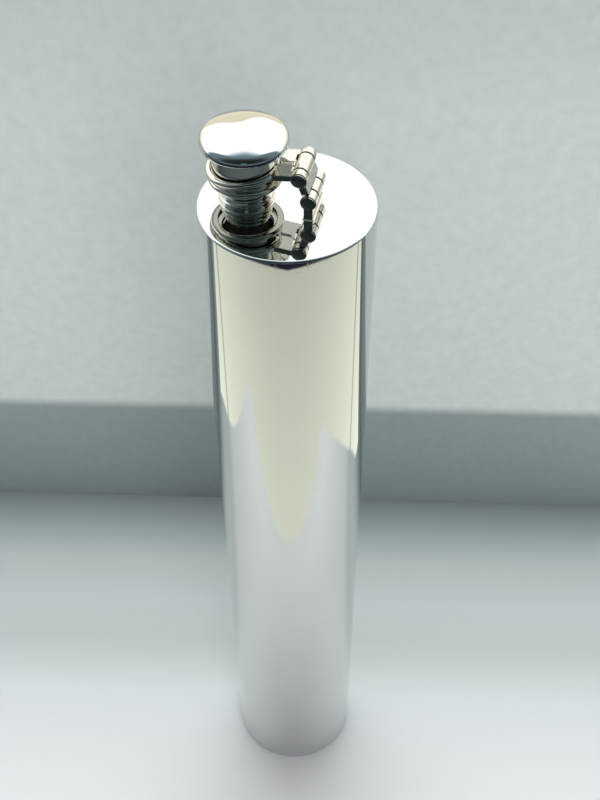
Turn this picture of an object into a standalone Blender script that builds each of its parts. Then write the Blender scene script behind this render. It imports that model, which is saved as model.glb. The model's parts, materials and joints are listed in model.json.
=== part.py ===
"""A tall round pewter flask with a captive screw cap on a two-hinge arm.

Metres, +Z up. The origin is the middle of the foot. The neck stands off the body's axis towards -X
and the hinge arm points along +X. The cap is drawn unscrewed, lifted just clear of the neck, with
its split ring leaning up to the arm.
"""

import math

import bmesh
import bpy
from mathutils import Matrix, Vector

# Body
BODY_HEIGHT = 0.2540
BODY_TOP_RADIUS = 0.0220
BODY_TAPER = 0.0006
BODY_WALL = 0.0010
SHOULDER_RADIUS = 0.0018
TOP_PLATE_THICKNESS = 0.0012
BASE_PLATE_THICKNESS = 0.0012
BASE_RECESS = 0.0010
FOOT_ROUNDING = 0.0004

# Neck, on its own axis, set in from the shoulder's widest line
NECK_INSET = 0.01195
NECK_HEIGHT = 0.0056
NECK_RADIUS = 0.0055
NECK_FLARE = 0.0013
NECK_BORE_RADIUS = 0.0048
NECK_FILLET = 0.0003
NECK_SPIGOT_WALL = 0.0005
NECK_MOUTH_ROUNDING = 0.0003

# Cap
SCREW_TRAVEL = 0.0037
LIP_RADIUS = 0.0091
LIP_THICKNESS = 0.0015
LIP_MOUTH_RADIUS = 0.0073
LIP_MOUTH_DEPTH = 0.0019
WAIST_HEIGHT = 0.0084
WAIST_WALL = 0.0014
WAIST_TOP_WALL = 0.0007
WAIST_STRAIGHT = 0.0034
WAIST_COVE = 0.0004
CROWN_RADIUS = 0.01065
CROWN_RIM = 0.0008
CROWN_DOME = 0.0040
CROWN_SHOULDER = 0.0020
SEAL_THICKNESS = 0.0012

# Captive ring
RING_THICKNESS = 0.0016
RING_BAND = 0.0013
RING_PLAY = 0.00045
RING_RISE = 0.0004
RING_TILT = math.radians(7.0)
RING_SLIT = 0.0010

# Hinge arm
ARM_REACH = 0.0141
HINGE_WIDTH = 0.0110
RING_KNUCKLE = 0.0021
BRACKET_KNUCKLE = 0.0029
BARREL_RADIUS = 0.0020
PIN_RADIUS = 0.0008
PIN_HEAD_RADIUS = 0.0018
PIN_HEAD_EDGE = 0.0003
PIN_HEAD_DOME = 0.0003
LINK_LENGTH = 0.00655
LINK_LEAN = math.radians(20.6)
LINK_WEB = 0.0019
LINK_WEB_WIDTH = 0.0104
LOWER_HINGE_HEIGHT = 0.00487
BRACKET_WEB = 0.0022
LEAF_INSET = 0.0001

# Fits and facets
SEAM_GAP = 0.0003
RUNNING_GAP = 0.0003
THREAD_ROOM = 0.0010
OVERLAP = 0.0002
OVERCUT = 0.0010
ROUND_BODY = 72
ROUND_SMALL = 40
ROUND_BARREL = 24
ROUND_PIN = 16

# Heights, reaches and fits that follow
BODY_FOOT_RADIUS = BODY_TOP_RADIUS - BODY_TAPER
NECK_OFFSET = BODY_TOP_RADIUS - NECK_INSET
PLATE_TOP = BODY_HEIGHT
PLATE_UNDER = PLATE_TOP - TOP_PLATE_THICKNESS
SHOULDER_Z = PLATE_TOP - SHOULDER_RADIUS
WALL_TOP = min(SHOULDER_Z, PLATE_UNDER) - SEAM_GAP
NECK_TOP = PLATE_TOP + NECK_HEIGHT
NECK_FOOT_RADIUS = NECK_RADIUS + NECK_FLARE
NECK_SPIGOT_RADIUS = NECK_BORE_RADIUS + NECK_SPIGOT_WALL
LIP_BOTTOM = NECK_TOP + RUNNING_GAP
LIP_TOP = LIP_BOTTOM + LIP_THICKNESS
CROWN_UNDER = LIP_TOP + WAIST_HEIGHT
WAIST_TOP = CROWN_UNDER - SEAM_GAP
CAP_BORE_RADIUS = NECK_RADIUS + THREAD_ROOM
WAIST_RADIUS = CAP_BORE_RADIUS + WAIST_WALL
WAIST_TOP_RADIUS = CAP_BORE_RADIUS + WAIST_TOP_WALL
SEAL_RADIUS = CAP_BORE_RADIUS - SEAM_GAP
SEAL_UNDER = NECK_TOP + SCREW_TRAVEL + RUNNING_GAP
SEAL_TOP = SEAL_UNDER + SEAL_THICKNESS
SPIGOT_UNDER = SEAL_TOP + SEAM_GAP
RING_BORE_RADIUS = WAIST_RADIUS + RING_PLAY
RING_RADIUS = RING_BORE_RADIUS + RING_BAND
RING_REACH = (ARM_REACH - RING_RISE * math.sin(RING_TILT)) / math.cos(RING_TILT)
LOWER_AXIS_Z = PLATE_TOP + LOWER_HINGE_HEIGHT
LINK_RUN = LINK_LENGTH * math.sin(LINK_LEAN)
LINK_CLIMB = LINK_LENGTH * math.cos(LINK_LEAN)
LOWER_AXIS_X = ARM_REACH + LINK_RUN - NECK_OFFSET
BARREL_CLEAR_RADIUS = BARREL_RADIUS + RUNNING_GAP
PIN_BORE_RADIUS = PIN_RADIUS + RUNNING_GAP
HALF_WIDTH = HINGE_WIDTH / 2.0
LEAF_HALF = HALF_WIDTH - LEAF_INSET


def clear_objects():
    """Remove whatever the open file holds."""
    for item in list(bpy.data.objects):
        bpy.data.objects.remove(item, do_unlink=True)


def new_collection(name):
    group = bpy.data.collections.new(name)
    bpy.context.scene.collection.children.link(group)
    return group


def make_material(name, colour, roughness, metallic):
    material = bpy.data.materials.new(name)
    material.use_nodes = True
    shader = material.node_tree.nodes["Principled BSDF"]
    shader.inputs["Base Color"].default_value = (*colour, 1.0)
    shader.inputs["Roughness"].default_value = roughness
    shader.inputs["Metallic"].default_value = metallic
    return material


def add_object(name, mesh, group, parent=None, material=None):
    item = bpy.data.objects.new(name, mesh)
    group.objects.link(item)
    item.parent = parent
    if material is not None:
        mesh.materials.append(material)
    return item


def add_empty(name, group, location, parent=None, turn=0.0):
    """A frame for a joint; turn is its rotation about its own Y."""
    item = bpy.data.objects.new(name, None)
    item.empty_display_size = BARREL_RADIUS
    item.location = location
    item.rotation_euler = (0.0, turn, 0.0)
    item.parent = parent
    group.objects.link(item)
    return item


def arc(centre_r, centre_z, radius, start, end, steps):
    """Points of a round corner in a profile, from one angle to another, in degrees."""
    points = []
    for step in range(steps + 1):
        angle = math.radians(start + (end - start) * step / steps)
        points.append((centre_r + radius * math.cos(angle), centre_z + radius * math.sin(angle)))
    return points


def disc(radius, top, bottom):
    """Profile of a plain round solid that closes on the axis."""
    return [(0.0, top), (radius, top), (radius, bottom), (0.0, bottom)]


def turned(name, profile, group, sides, parent=None, material=None):
    """Turn a profile of (radius, height) points round Z, down its outer side first."""
    mesh = bpy.data.meshes.new(name)
    points = [(radius, 0.0, height) for radius, height in profile]
    edges = [(k, k + 1) for k in range(len(points) - 1)]
    if profile[0][0] > 0.0:
        edges.append((len(points) - 1, 0))
    mesh.from_pydata(points, edges, [])
    item = add_object(name, mesh, group, parent, material)
    screw = item.modifiers.new("Turn", "SCREW")
    screw.steps = sides
    screw.render_steps = sides
    screw.use_merge_vertices = True
    screw.merge_threshold = 0.00001
    return item


def round_bar(name, radius, low, high, group, sides, parent=None):
    """A cylinder along Y between two ends."""
    work = bmesh.new()
    place = Matrix.Translation((0.0, (low + high) / 2.0, 0.0)) @ Matrix.Rotation(math.pi / 2.0, 4, "X")
    bmesh.ops.create_cone(work, cap_ends=True, segments=sides, radius1=radius, radius2=radius,
                          depth=high - low, matrix=place)
    mesh = bpy.data.meshes.new(name)
    work.to_mesh(mesh)
    work.free()
    return add_object(name, mesh, group, parent)


def block(name, low, high, group, parent=None, material=None):
    """A box between two corners, in its parent's frame."""
    size = Vector(high) - Vector(low)
    centre = (Vector(high) + Vector(low)) / 2.0
    work = bmesh.new()
    place = Matrix.Translation(centre) @ Matrix.Diagonal((*size, 1.0))
    bmesh.ops.create_cube(work, size=1.0, matrix=place)
    mesh = bpy.data.meshes.new(name)
    work.to_mesh(mesh)
    work.free()
    return add_object(name, mesh, group, parent, material)


def combine(item, other, operation):
    """Join a guide to this object, or cut it away."""
    step = item.modifiers.new(operation.title(), "BOOLEAN")
    step.operation = operation
    step.solver = "EXACT"
    step.object = other
    other.hide_render = True
    other.display_type = "WIRE"


def shade(item, angle=40.0):
    item.data.shade_smooth()
    item.data.set_sharp_from_angle(angle=math.radians(angle))


def wall_radius(height):
    """Outer radius of the tapered body at a height."""
    share = height / SHOULDER_Z
    return BODY_FOOT_RADIUS + BODY_TAPER * share


def build_body(parts, cutters, pewter):
    """Drawn wall, top plate with the neck's hole, and a base plate set up inside the foot."""
    wall = [(wall_radius(WALL_TOP), WALL_TOP)]
    wall += arc(BODY_FOOT_RADIUS - FOOT_ROUNDING, FOOT_ROUNDING, FOOT_ROUNDING, 0.0, -90.0, 4)
    wall += [(BODY_FOOT_RADIUS - BODY_WALL, 0.0), (wall_radius(WALL_TOP) - BODY_WALL, WALL_TOP)]
    turned("body_wall", wall, parts, ROUND_BODY, material=pewter)

    shoulder_r = BODY_TOP_RADIUS - SHOULDER_RADIUS
    skirt_z = WALL_TOP + SEAM_GAP
    plate = [(0.0, PLATE_TOP)]
    plate += arc(shoulder_r, SHOULDER_Z, SHOULDER_RADIUS, 90.0, 0.0, 6)
    if skirt_z < SHOULDER_Z:
        plate.append((BODY_TOP_RADIUS, skirt_z))
    plate += [
        (BODY_TOP_RADIUS - BODY_WALL, skirt_z),
        (shoulder_r, min(PLATE_UNDER, PLATE_TOP - SHOULDER_RADIUS / 2.0)),
        (shoulder_r - OVERLAP, PLATE_UNDER),
        (0.0, PLATE_UNDER),
    ]
    top = turned("top_plate", plate, parts, ROUND_BODY, material=pewter)
    hole = turned("neck_hole", disc(NECK_SPIGOT_RADIUS + SEAM_GAP, PLATE_TOP + OVERCUT,
                                    PLATE_UNDER - OVERCUT), cutters, ROUND_SMALL)
    hole.location.x = -NECK_OFFSET
    combine(top, hole, "DIFFERENCE")

    inside = wall_radius(0.0) - BODY_WALL - SEAM_GAP
    turned("base_plate", disc(inside, BASE_RECESS + BASE_PLATE_THICKNESS, BASE_RECESS),
           parts, ROUND_BODY, material=pewter)


def build_neck(parts, pewter):
    """Threaded spout: a collar that flares down to the plate and a spigot down through it."""
    foot = PLATE_TOP + SEAM_GAP
    mouth = NECK_MOUTH_ROUNDING
    profile = arc(NECK_RADIUS - mouth, NECK_TOP - mouth, mouth, 90.0, 0.0, 3)
    profile += arc(NECK_FOOT_RADIUS + NECK_FILLET, foot + NECK_FILLET, NECK_FILLET, 180.0, 270.0, 3)
    profile += [
        (NECK_SPIGOT_RADIUS, foot),
        (NECK_SPIGOT_RADIUS, PLATE_UNDER),
        (NECK_BORE_RADIUS, PLATE_UNDER),
        (NECK_BORE_RADIUS, NECK_TOP),
    ]
    neck = turned("neck", profile, parts, ROUND_SMALL, material=pewter)
    neck.location.x = -NECK_OFFSET


def add_outer_knuckles(item, name, length, cutters, axis):
    """Join a barrel piece to each end of a leaf; returns the link's running room between them."""
    reach = HALF_WIDTH - length
    start = reach - OVERLAP
    for side, (low, high) in (("a", (-HALF_WIDTH, -start)), ("b", (start, HALF_WIDTH))):
        bar = round_bar("%s_knuckle_%s" % (name, side), BARREL_RADIUS, low, high, cutters,
                        ROUND_BARREL, axis)
        combine(item, bar, "UNION")
    return round_bar(name + "_relief", BARREL_CLEAR_RADIUS, -reach, reach, cutters,
                     ROUND_BARREL, axis)


def bore(item, name, cutters, axis):
    """Drill the pin's hole along a hinge axis."""
    reach = HALF_WIDTH + OVERCUT
    bar = round_bar(name + "_bore", PIN_BORE_RADIUS, -reach, reach, cutters, ROUND_PIN, axis)
    combine(item, bar, "DIFFERENCE")


def low_dome(radius, base, height, steps):
    """Profile of a shallow dome, from the axis down to its edge."""
    sphere = (radius ** 2 + height ** 2) / (2.0 * height)
    points = []
    for step in range(steps + 1):
        reach = radius * step / steps
        drop = sphere - math.sqrt(sphere ** 2 - reach ** 2)
        points.append((reach, base + height - drop))
    return points


def build_pin(name, parts, axis, pewter):
    """Riveted hinge pin with a low domed head at each end."""
    seat = HALF_WIDTH + SEAM_GAP
    profile = low_dome(PIN_HEAD_RADIUS, seat + PIN_HEAD_EDGE, PIN_HEAD_DOME, 2)
    profile += [(PIN_HEAD_RADIUS, seat), (PIN_RADIUS, seat)]
    profile += [(radius, -height) for radius, height in reversed(profile)]
    pin = turned(name, profile, parts, ROUND_BARREL, axis, pewter)
    pin.rotation_euler.x = math.pi / 2.0


def build_bracket(parts, cutters, axis, pewter):
    """Fixed leaf that stands on the top plate and carries the lower hinge's outer knuckles."""
    half = BRACKET_WEB / 2.0
    foot = SEAM_GAP - LOWER_HINGE_HEIGHT
    leaf = block("hinge_bracket", (-half, -LEAF_HALF, foot), (half, LEAF_HALF, 0.0),
                 parts, axis, pewter)
    room = add_outer_knuckles(leaf, "bracket", BRACKET_KNUCKLE, cutters, axis)
    combine(leaf, room, "DIFFERENCE")
    bore(leaf, "bracket", cutters, axis)


def build_link(parts, cutters, lower_axis, pewter):
    """Link: a flat web between the two barrels, joined to a middle knuckle at each end."""
    frame = add_empty("link_frame", parts, (0.0, 0.0, 0.0), lower_axis, -LINK_LEAN)
    head = add_empty("link_head", parts, (0.0, 0.0, LINK_LENGTH), frame)
    thick = LINK_WEB / 2.0
    half = LINK_WEB_WIDTH / 2.0
    link = block("hinge_link", (-thick, -half, OVERLAP), (thick, half, LINK_LENGTH - OVERLAP),
                 parts, frame, pewter)
    ends = (("link_foot", frame, BRACKET_KNUCKLE), ("link_head", head, RING_KNUCKLE))
    reach = HALF_WIDTH + OVERCUT
    for name, axis, outer in ends:
        start = HALF_WIDTH - outer - RUNNING_GAP - LEAF_INSET
        for side, (low, high) in (("a", (-reach, -start)), ("b", (start, reach))):
            room = round_bar("%s_room_%s" % (name, side), BARREL_CLEAR_RADIUS, low, high, cutters,
                             ROUND_BARREL, axis)
            combine(link, room, "DIFFERENCE")
    for name, axis, outer in ends:
        end = HALF_WIDTH - outer - RUNNING_GAP
        knuckle = round_bar(name + "_knuckle", BARREL_RADIUS, -end, end, cutters,
                            ROUND_BARREL, axis)
        combine(link, knuckle, "UNION")
    for name, axis, _ in ends:
        bore(link, name, cutters, axis)


def build_ring(parts, cutters, axis, pewter):
    """Split ring round the cap's waist: its two ends are lugs, each with an outer knuckle."""
    tilt = add_empty("ring_tilt", parts, (0.0, 0.0, 0.0), axis, -RING_TILT)
    low = RING_RISE - RING_THICKNESS / 2.0
    high = RING_RISE + RING_THICKNESS / 2.0
    ring = turned("cap_ring", disc(RING_RADIUS, high, low), parts, ROUND_SMALL, tilt, pewter)
    ring.location.x = -RING_REACH
    lugs = block("ring_lugs", (-RING_REACH, -LEAF_HALF, low), (0.0, LEAF_HALF, high),
                 cutters, tilt)
    combine(ring, lugs, "UNION")
    room = add_outer_knuckles(ring, "ring", RING_KNUCKLE, cutters, tilt)
    hole = turned("ring_hole", disc(RING_BORE_RADIUS, high + OVERCUT, low - OVERCUT),
                  cutters, ROUND_SMALL, tilt)
    hole.location.x = -RING_REACH
    combine(ring, hole, "DIFFERENCE")
    combine(ring, room, "DIFFERENCE")
    slit = block("ring_slit", (-RING_REACH, -RING_SLIT / 2.0, low - OVERCUT),
                 (OVERCUT, RING_SLIT / 2.0, high + OVERCUT), cutters, tilt)
    combine(ring, slit, "DIFFERENCE")
    bore(ring, "ring", cutters, tilt)


def crown_profile():
    """Dome with a rounded shoulder, thin rim, flat underside and the spigot in the barrel."""
    rim_top = CROWN_UNDER + CROWN_RIM
    shoulder_r = CROWN_RADIUS - CROWN_SHOULDER
    lean = 2.0 * math.atan2(CROWN_DOME - CROWN_SHOULDER, shoulder_r)
    sphere = CROWN_SHOULDER + shoulder_r / math.sin(lean)
    profile = [(0.0, rim_top + CROWN_DOME)]
    profile += arc(0.0, rim_top + CROWN_DOME - sphere, sphere, 90.0, 90.0 - math.degrees(lean), 6)[1:]
    profile += arc(shoulder_r, rim_top, CROWN_SHOULDER, 90.0 - math.degrees(lean), 0.0, 4)[1:]
    edge = CROWN_RIM / 2.0
    profile += arc(CROWN_RADIUS - edge, CROWN_UNDER + edge, edge, 0.0, -90.0, 3)
    profile += [
        (SEAL_RADIUS, CROWN_UNDER),
        (SEAL_RADIUS, SPIGOT_UNDER),
        (0.0, SPIGOT_UNDER),
    ]
    return profile


def barrel_profile():
    """Waist that narrows towards the crown, and the round-edged lip with its wider mouth."""
    taper_z = LIP_TOP + WAIST_STRAIGHT
    edge = LIP_THICKNESS / 2.0
    profile = [(WAIST_TOP_RADIUS, WAIST_TOP), (WAIST_RADIUS, taper_z)]
    profile += arc(WAIST_RADIUS + WAIST_COVE, LIP_TOP + WAIST_COVE, WAIST_COVE, 180.0, 270.0, 3)
    profile += arc(LIP_RADIUS - edge, LIP_TOP - edge, edge, 90.0, -90.0, 6)
    mouth_z = LIP_BOTTOM + LIP_MOUTH_DEPTH
    profile += [
        (LIP_MOUTH_RADIUS, LIP_BOTTOM),
        (LIP_MOUTH_RADIUS, mouth_z),
        (CAP_BORE_RADIUS, mouth_z),
        (CAP_BORE_RADIUS, WAIST_TOP),
    ]
    return profile


def build_cap(parts, axis, pewter, rubber):
    """Flanged barrel, domed crown and the seal between crown and neck."""
    base = axis.matrix_world.translation.z
    for name, profile, material in (
        ("cap_barrel", barrel_profile(), pewter),
        ("cap_crown", crown_profile(), pewter),
        ("cap_seal", disc(SEAL_RADIUS, SEAL_TOP, SEAL_UNDER), rubber),
    ):
        local = [(radius, height - base) for radius, height in profile]
        turned(name, local, parts, ROUND_SMALL, axis, material)


def main():
    clear_objects()
    parts = new_collection("pewter_flask")
    cutters = new_collection("cutters")
    pewter = make_material("polished_pewter", (0.80, 0.80, 0.76), 0.08, 1.0)
    rubber = make_material("seal_rubber", (0.06, 0.06, 0.06), 0.75, 0.0)

    lower_axis = add_empty("lower_hinge_axis", parts, (LOWER_AXIS_X, 0.0, LOWER_AXIS_Z))
    upper_axis = add_empty("upper_hinge_axis", parts, (-LINK_RUN, 0.0, LINK_CLIMB), lower_axis)
    cap_axis = add_empty("cap_axis", parts, (-ARM_REACH, 0.0, 0.0), upper_axis)
    bpy.context.view_layer.update()
    build_body(parts, cutters, pewter)
    build_neck(parts, pewter)
    build_bracket(parts, cutters, lower_axis, pewter)
    build_link(parts, cutters, lower_axis, pewter)
    build_ring(parts, cutters, upper_axis, pewter)
    build_cap(parts, cap_axis, pewter, rubber)
    for name, axis in (("lower_hinge_pin", lower_axis), ("upper_hinge_pin", upper_axis)):
        build_pin(name, parts, axis, pewter)
    for item in parts.objects:
        if item.type == "MESH":
            shade(item)


main()
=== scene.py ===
"""Polished pewter flask with a captive screw cap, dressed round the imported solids.

Every finished piece is modelled at its place in the flask's own frame, in metres: +Z up, the middle
of the foot at the origin, the neck towards -X and the hinge arm along +X.
"""

import json
import logging
import math
from dataclasses import dataclass
from enum import Enum
from typing import Callable, Iterable, Sequence

import bpy
from mathutils import Matrix, Vector


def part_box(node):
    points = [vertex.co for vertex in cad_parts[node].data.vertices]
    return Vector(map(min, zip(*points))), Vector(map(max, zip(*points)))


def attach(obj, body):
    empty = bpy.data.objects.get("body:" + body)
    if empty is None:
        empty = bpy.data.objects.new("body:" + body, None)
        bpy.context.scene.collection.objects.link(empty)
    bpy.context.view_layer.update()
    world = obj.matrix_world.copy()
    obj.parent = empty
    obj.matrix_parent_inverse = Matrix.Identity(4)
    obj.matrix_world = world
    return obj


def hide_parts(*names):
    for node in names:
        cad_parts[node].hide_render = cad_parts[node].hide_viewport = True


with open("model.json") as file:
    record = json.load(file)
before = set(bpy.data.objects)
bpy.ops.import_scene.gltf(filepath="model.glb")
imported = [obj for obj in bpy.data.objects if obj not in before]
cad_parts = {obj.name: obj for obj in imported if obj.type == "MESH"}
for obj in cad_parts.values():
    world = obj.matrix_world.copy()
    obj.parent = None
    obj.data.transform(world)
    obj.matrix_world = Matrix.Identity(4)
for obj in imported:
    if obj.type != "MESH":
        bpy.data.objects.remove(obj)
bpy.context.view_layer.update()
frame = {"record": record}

logging.basicConfig(level=logging.INFO, format="%(levelname)s %(message)s")
LOG = logging.getLogger("flask")

Point = tuple[float, float]
Colour = tuple[float, float, float]
Stop = tuple[float, Colour]
Socket = bpy.types.NodeSocket

# Lengths are in metres, written as millimetres times MM.
MM = 0.001
UPRIGHT = Vector((0.0, 0.0, 1.0))
# Points closer than this become one.
MERGE = 1e-6
# Gap between pieces that seat on each other.
SEAM = 0.3 * MM
# How far a surface laps into its neighbour where the two are soldered or pressed together.
LAP = 0.02 * MM
# Thickness of the top plate.
PLATE = 1.2 * MM
# How much smaller the flask's radius is at the foot than at the shoulder.
TAPER = 0.6 * MM
# Rise of the screw thread in one turn.
PITCH = 1.5 * MM
# Angles in degrees up to which plain and threaded pieces are shaded smooth.
CREASE = 35.0
THREAD_CREASE = 50.0


class Body(Enum):
    """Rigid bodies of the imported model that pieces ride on."""

    FLASK = "flask"
    LINK = "link"
    RING = "ring"
    SEAL = "seal"
    CAP = "cap"


class Slot(Enum):
    """Material slots of the record."""

    PEWTER = "pewter"
    FITTINGS = "pewter_fittings"
    SEAL = "seal"


def rounded(centre: Point, radius: float, start: float, end: float, steps: int) -> list[Point]:
    """Points of a round corner in a profile.

    Args:
        centre: Radius and height of the corner's centre.
        radius: The corner's own radius.
        start: First angle in degrees, 0 pointing outwards and 90 up.
        end: Last angle in degrees.
        steps: Number of straight steps along the arc.

    Returns:
        The points from start to end.
    """
    points = []
    for step in range(steps + 1):
        angle = math.radians(start + (end - start) * step / steps)
        points.append((centre[0] + radius * math.cos(angle), centre[1] + radius * math.sin(angle)))
    return points


def straight(low: Point, high: Point, steps: int) -> list[Point]:
    """Evenly spaced points between two ends, without the ends themselves.

    Args:
        low: The end to start from.
        high: The end to run to.
        steps: Number of equal steps between them.

    Returns:
        The points in order.
    """
    points = []
    for step in range(1, steps):
        share = step / steps
        points.append((low[0] + (high[0] - low[0]) * share, low[1] + (high[1] - low[1]) * share))
    return points


class Bench:
    """Hand operations on meshes, each done with Blender's own tools.

    Attributes:
        sharp: Angle in degrees from which an edge counts as sharp.
        steps: Steps in a rounded edge where no other count is given.
    """

    sharp = 40.0
    steps = 3

    @staticmethod
    def lay_down() -> None:
        """Leave edit mode and deselect everything."""
        if bpy.context.object is not None and bpy.context.object.mode != "OBJECT":
            bpy.ops.object.mode_set(mode="OBJECT")
        bpy.ops.object.select_all(action="DESELECT")

    @classmethod
    def pick_up(cls, item: bpy.types.Object) -> None:
        """Select one object alone and make it active."""
        cls.lay_down()
        item.select_set(True)
        bpy.context.view_layer.objects.active = item

    @classmethod
    def settle(cls, item: bpy.types.Object, place: Matrix | None = None) -> bpy.types.Object:
        """Move a mesh to its place and leave its object at the origin, unturned.

        Args:
            item: The object to settle.
            place: Where its own frame goes, or None to keep it where it is.

        Returns:
            The same object.
        """
        cls.pick_up(item)
        if place is not None:
            item.matrix_world = place @ item.matrix_world
        bpy.ops.object.transform_apply(location=True, rotation=True, scale=True)
        return item

    @classmethod
    def lathe(cls, name: str, profile: Sequence[Point], steps: int,
              place: Matrix | None = None) -> bpy.types.Object:
        """Draw a profile point by point and spin it about the upright axis.

        Args:
            name: Name of the new object.
            profile: Points of (radius, height), down the outer side first.
            steps: Number of steps round the full turn.
            place: Where its own frame goes, or None to keep it at the origin.

        Returns:
            A closed, turned mesh.
        """
        cls.lay_down()
        bpy.ops.mesh.primitive_plane_add(size=MM, location=(profile[0][0], 0.0, profile[0][1]))
        item = bpy.context.active_object
        item.name = name
        bpy.ops.object.mode_set(mode="EDIT")
        bpy.ops.mesh.select_all(action="SELECT")
        bpy.ops.mesh.merge(type="CENTER")
        for before, after in zip(profile, profile[1:]):
            move = (after[0] - before[0], 0.0, after[1] - before[1])
            bpy.ops.mesh.extrude_vertices_move(TRANSFORM_OT_translate={"value": move})
        bpy.ops.mesh.select_all(action="SELECT")
        bpy.ops.mesh.spin(steps=steps, angle=math.tau, center=(0.0, 0.0, 0.0), axis=UPRIGHT)
        bpy.ops.mesh.select_all(action="SELECT")
        bpy.ops.mesh.remove_doubles(threshold=MERGE)
        bpy.ops.mesh.normals_make_consistent(inside=False)
        bpy.ops.object.mode_set(mode="OBJECT")
        cls.settle(item)
        return item if place is None else cls.settle(item, place)

    @classmethod
    def plug(cls, name: str, radius: float, low: float, high: float, sides: int,
             place: Matrix) -> bpy.types.Object:
        """An upright round plug to cut a hole with.

        Args:
            name: Name of the new object.
            radius: Radius of the plug.
            low: Height of its lower end.
            high: Height of its upper end.
            sides: Number of sides round it.
            place: Where its own frame goes.

        Returns:
            The plug.
        """
        profile = [(0.0, high), (radius, high), (radius, low), (0.0, low)]
        return cls.lathe(name, profile, sides, place)

    @classmethod
    def box(cls, name: str, low: Sequence[float], high: Sequence[float],
            round_over: float = 0.0, segments: int = steps) -> bpy.types.Object:
        """A block between two corners, with all its edges rounded if asked.

        Args:
            name: Name of the new object.
            low: The corner with the lowest coordinates.
            high: The corner with the highest coordinates.
            round_over: Width of the rounding, or 0 for sharp edges.
            segments: Steps in the rounding.

        Returns:
            The block.
        """
        cls.lay_down()
        centre = [(a + b) / 2.0 for a, b in zip(low, high)]
        size = [b - a for a, b in zip(low, high)]
        bpy.ops.mesh.primitive_cube_add(size=1.0, location=centre, scale=size)
        item = bpy.context.active_object
        item.name = name
        bpy.ops.object.transform_apply(location=True, rotation=True, scale=True)
        if round_over > 0.0:
            bpy.ops.object.mode_set(mode="EDIT")
            bpy.ops.mesh.select_all(action="SELECT")
            bpy.ops.mesh.bevel(offset=round_over, segments=segments, affect="EDGES")
            bpy.ops.object.mode_set(mode="OBJECT")
        return item

    @classmethod
    def bar(cls, name: str, radius: float, low: float, high: float, sides: int,
            round_over: float = 0.0) -> bpy.types.Object:
        """A round bar along Y between two ends, with its end edges rounded if asked.

        Args:
            name: Name of the new object.
            radius: Radius of the bar.
            low: Y of its first end.
            high: Y of its second end.
            sides: Number of sides round it.
            round_over: Width of the rounding, or 0 for sharp ends.

        Returns:
            The bar.
        """
        cls.lay_down()
        bpy.ops.mesh.primitive_cylinder_add(
            vertices=sides, radius=radius, depth=high - low,
            location=(0.0, (low + high) / 2.0, 0.0), rotation=(math.pi / 2.0, 0.0, 0.0))
        item = bpy.context.active_object
        item.name = name
        bpy.ops.object.transform_apply(location=True, rotation=True, scale=True)
        if round_over > 0.0:
            cls.round_edges(item, round_over, lambda edge: abs(edge.y) < abs(edge.x) + abs(edge.z))
        return item

    @classmethod
    def round_edges(cls, item: bpy.types.Object, width: float,
                    wanted: Callable[[Vector], bool]) -> None:
        """Bevel the sharp edges whose direction passes a test.

        Args:
            item: The object whose edges are rounded.
            width: Width of the rounding.
            wanted: Test on an edge's unit direction.
        """
        cls.pick_up(item)
        bpy.ops.object.mode_set(mode="EDIT")
        bpy.ops.mesh.select_all(action="DESELECT")
        bpy.ops.mesh.select_mode(type="EDGE")
        bpy.ops.mesh.edges_select_sharp(sharpness=math.radians(cls.sharp))
        bpy.ops.object.mode_set(mode="OBJECT")
        corners = item.data.vertices
        for edge in item.data.edges:
            if edge.select:
                along = corners[edge.vertices[1]].co - corners[edge.vertices[0]].co
                edge.select = wanted(along.normalized())
        bpy.ops.object.mode_set(mode="EDIT")
        bpy.ops.mesh.bevel(offset=width, segments=cls.steps, affect="EDGES")
        bpy.ops.mesh.select_mode(type="VERT")
        bpy.ops.object.mode_set(mode="OBJECT")

    @classmethod
    def combine(cls, item: bpy.types.Object, other: bpy.types.Object, operation: str) -> None:
        """Join another mesh to this one, or cut it away, and use it up.

        Args:
            item: The mesh that stays.
            other: The mesh that is used up.
            operation: UNION to join it, DIFFERENCE to cut it away.
        """
        cls.pick_up(item)
        step = item.modifiers.new("combine", "BOOLEAN")
        step.operation = operation
        step.solver = "EXACT"
        step.object = other
        bpy.ops.object.modifier_apply(modifier=step.name)
        mesh = other.data
        bpy.data.objects.remove(other, do_unlink=True)
        bpy.data.meshes.remove(mesh)

    @classmethod
    def smooth(cls, item: bpy.types.Object, angle: float) -> None:
        """Shade smooth up to an angle, with flat faces kept flat.

        Args:
            item: The object to shade.
            angle: Largest angle in degrees between faces that are shaded as one.
        """
        cls.pick_up(item)
        bpy.ops.object.shade_smooth_by_angle(angle=math.radians(angle))
        step = item.modifiers.new("even_normals", "WEIGHTED_NORMAL")
        step.weight = 100
        step.keep_sharp = True
        bpy.ops.object.modifier_apply(modifier=step.name)


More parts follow.
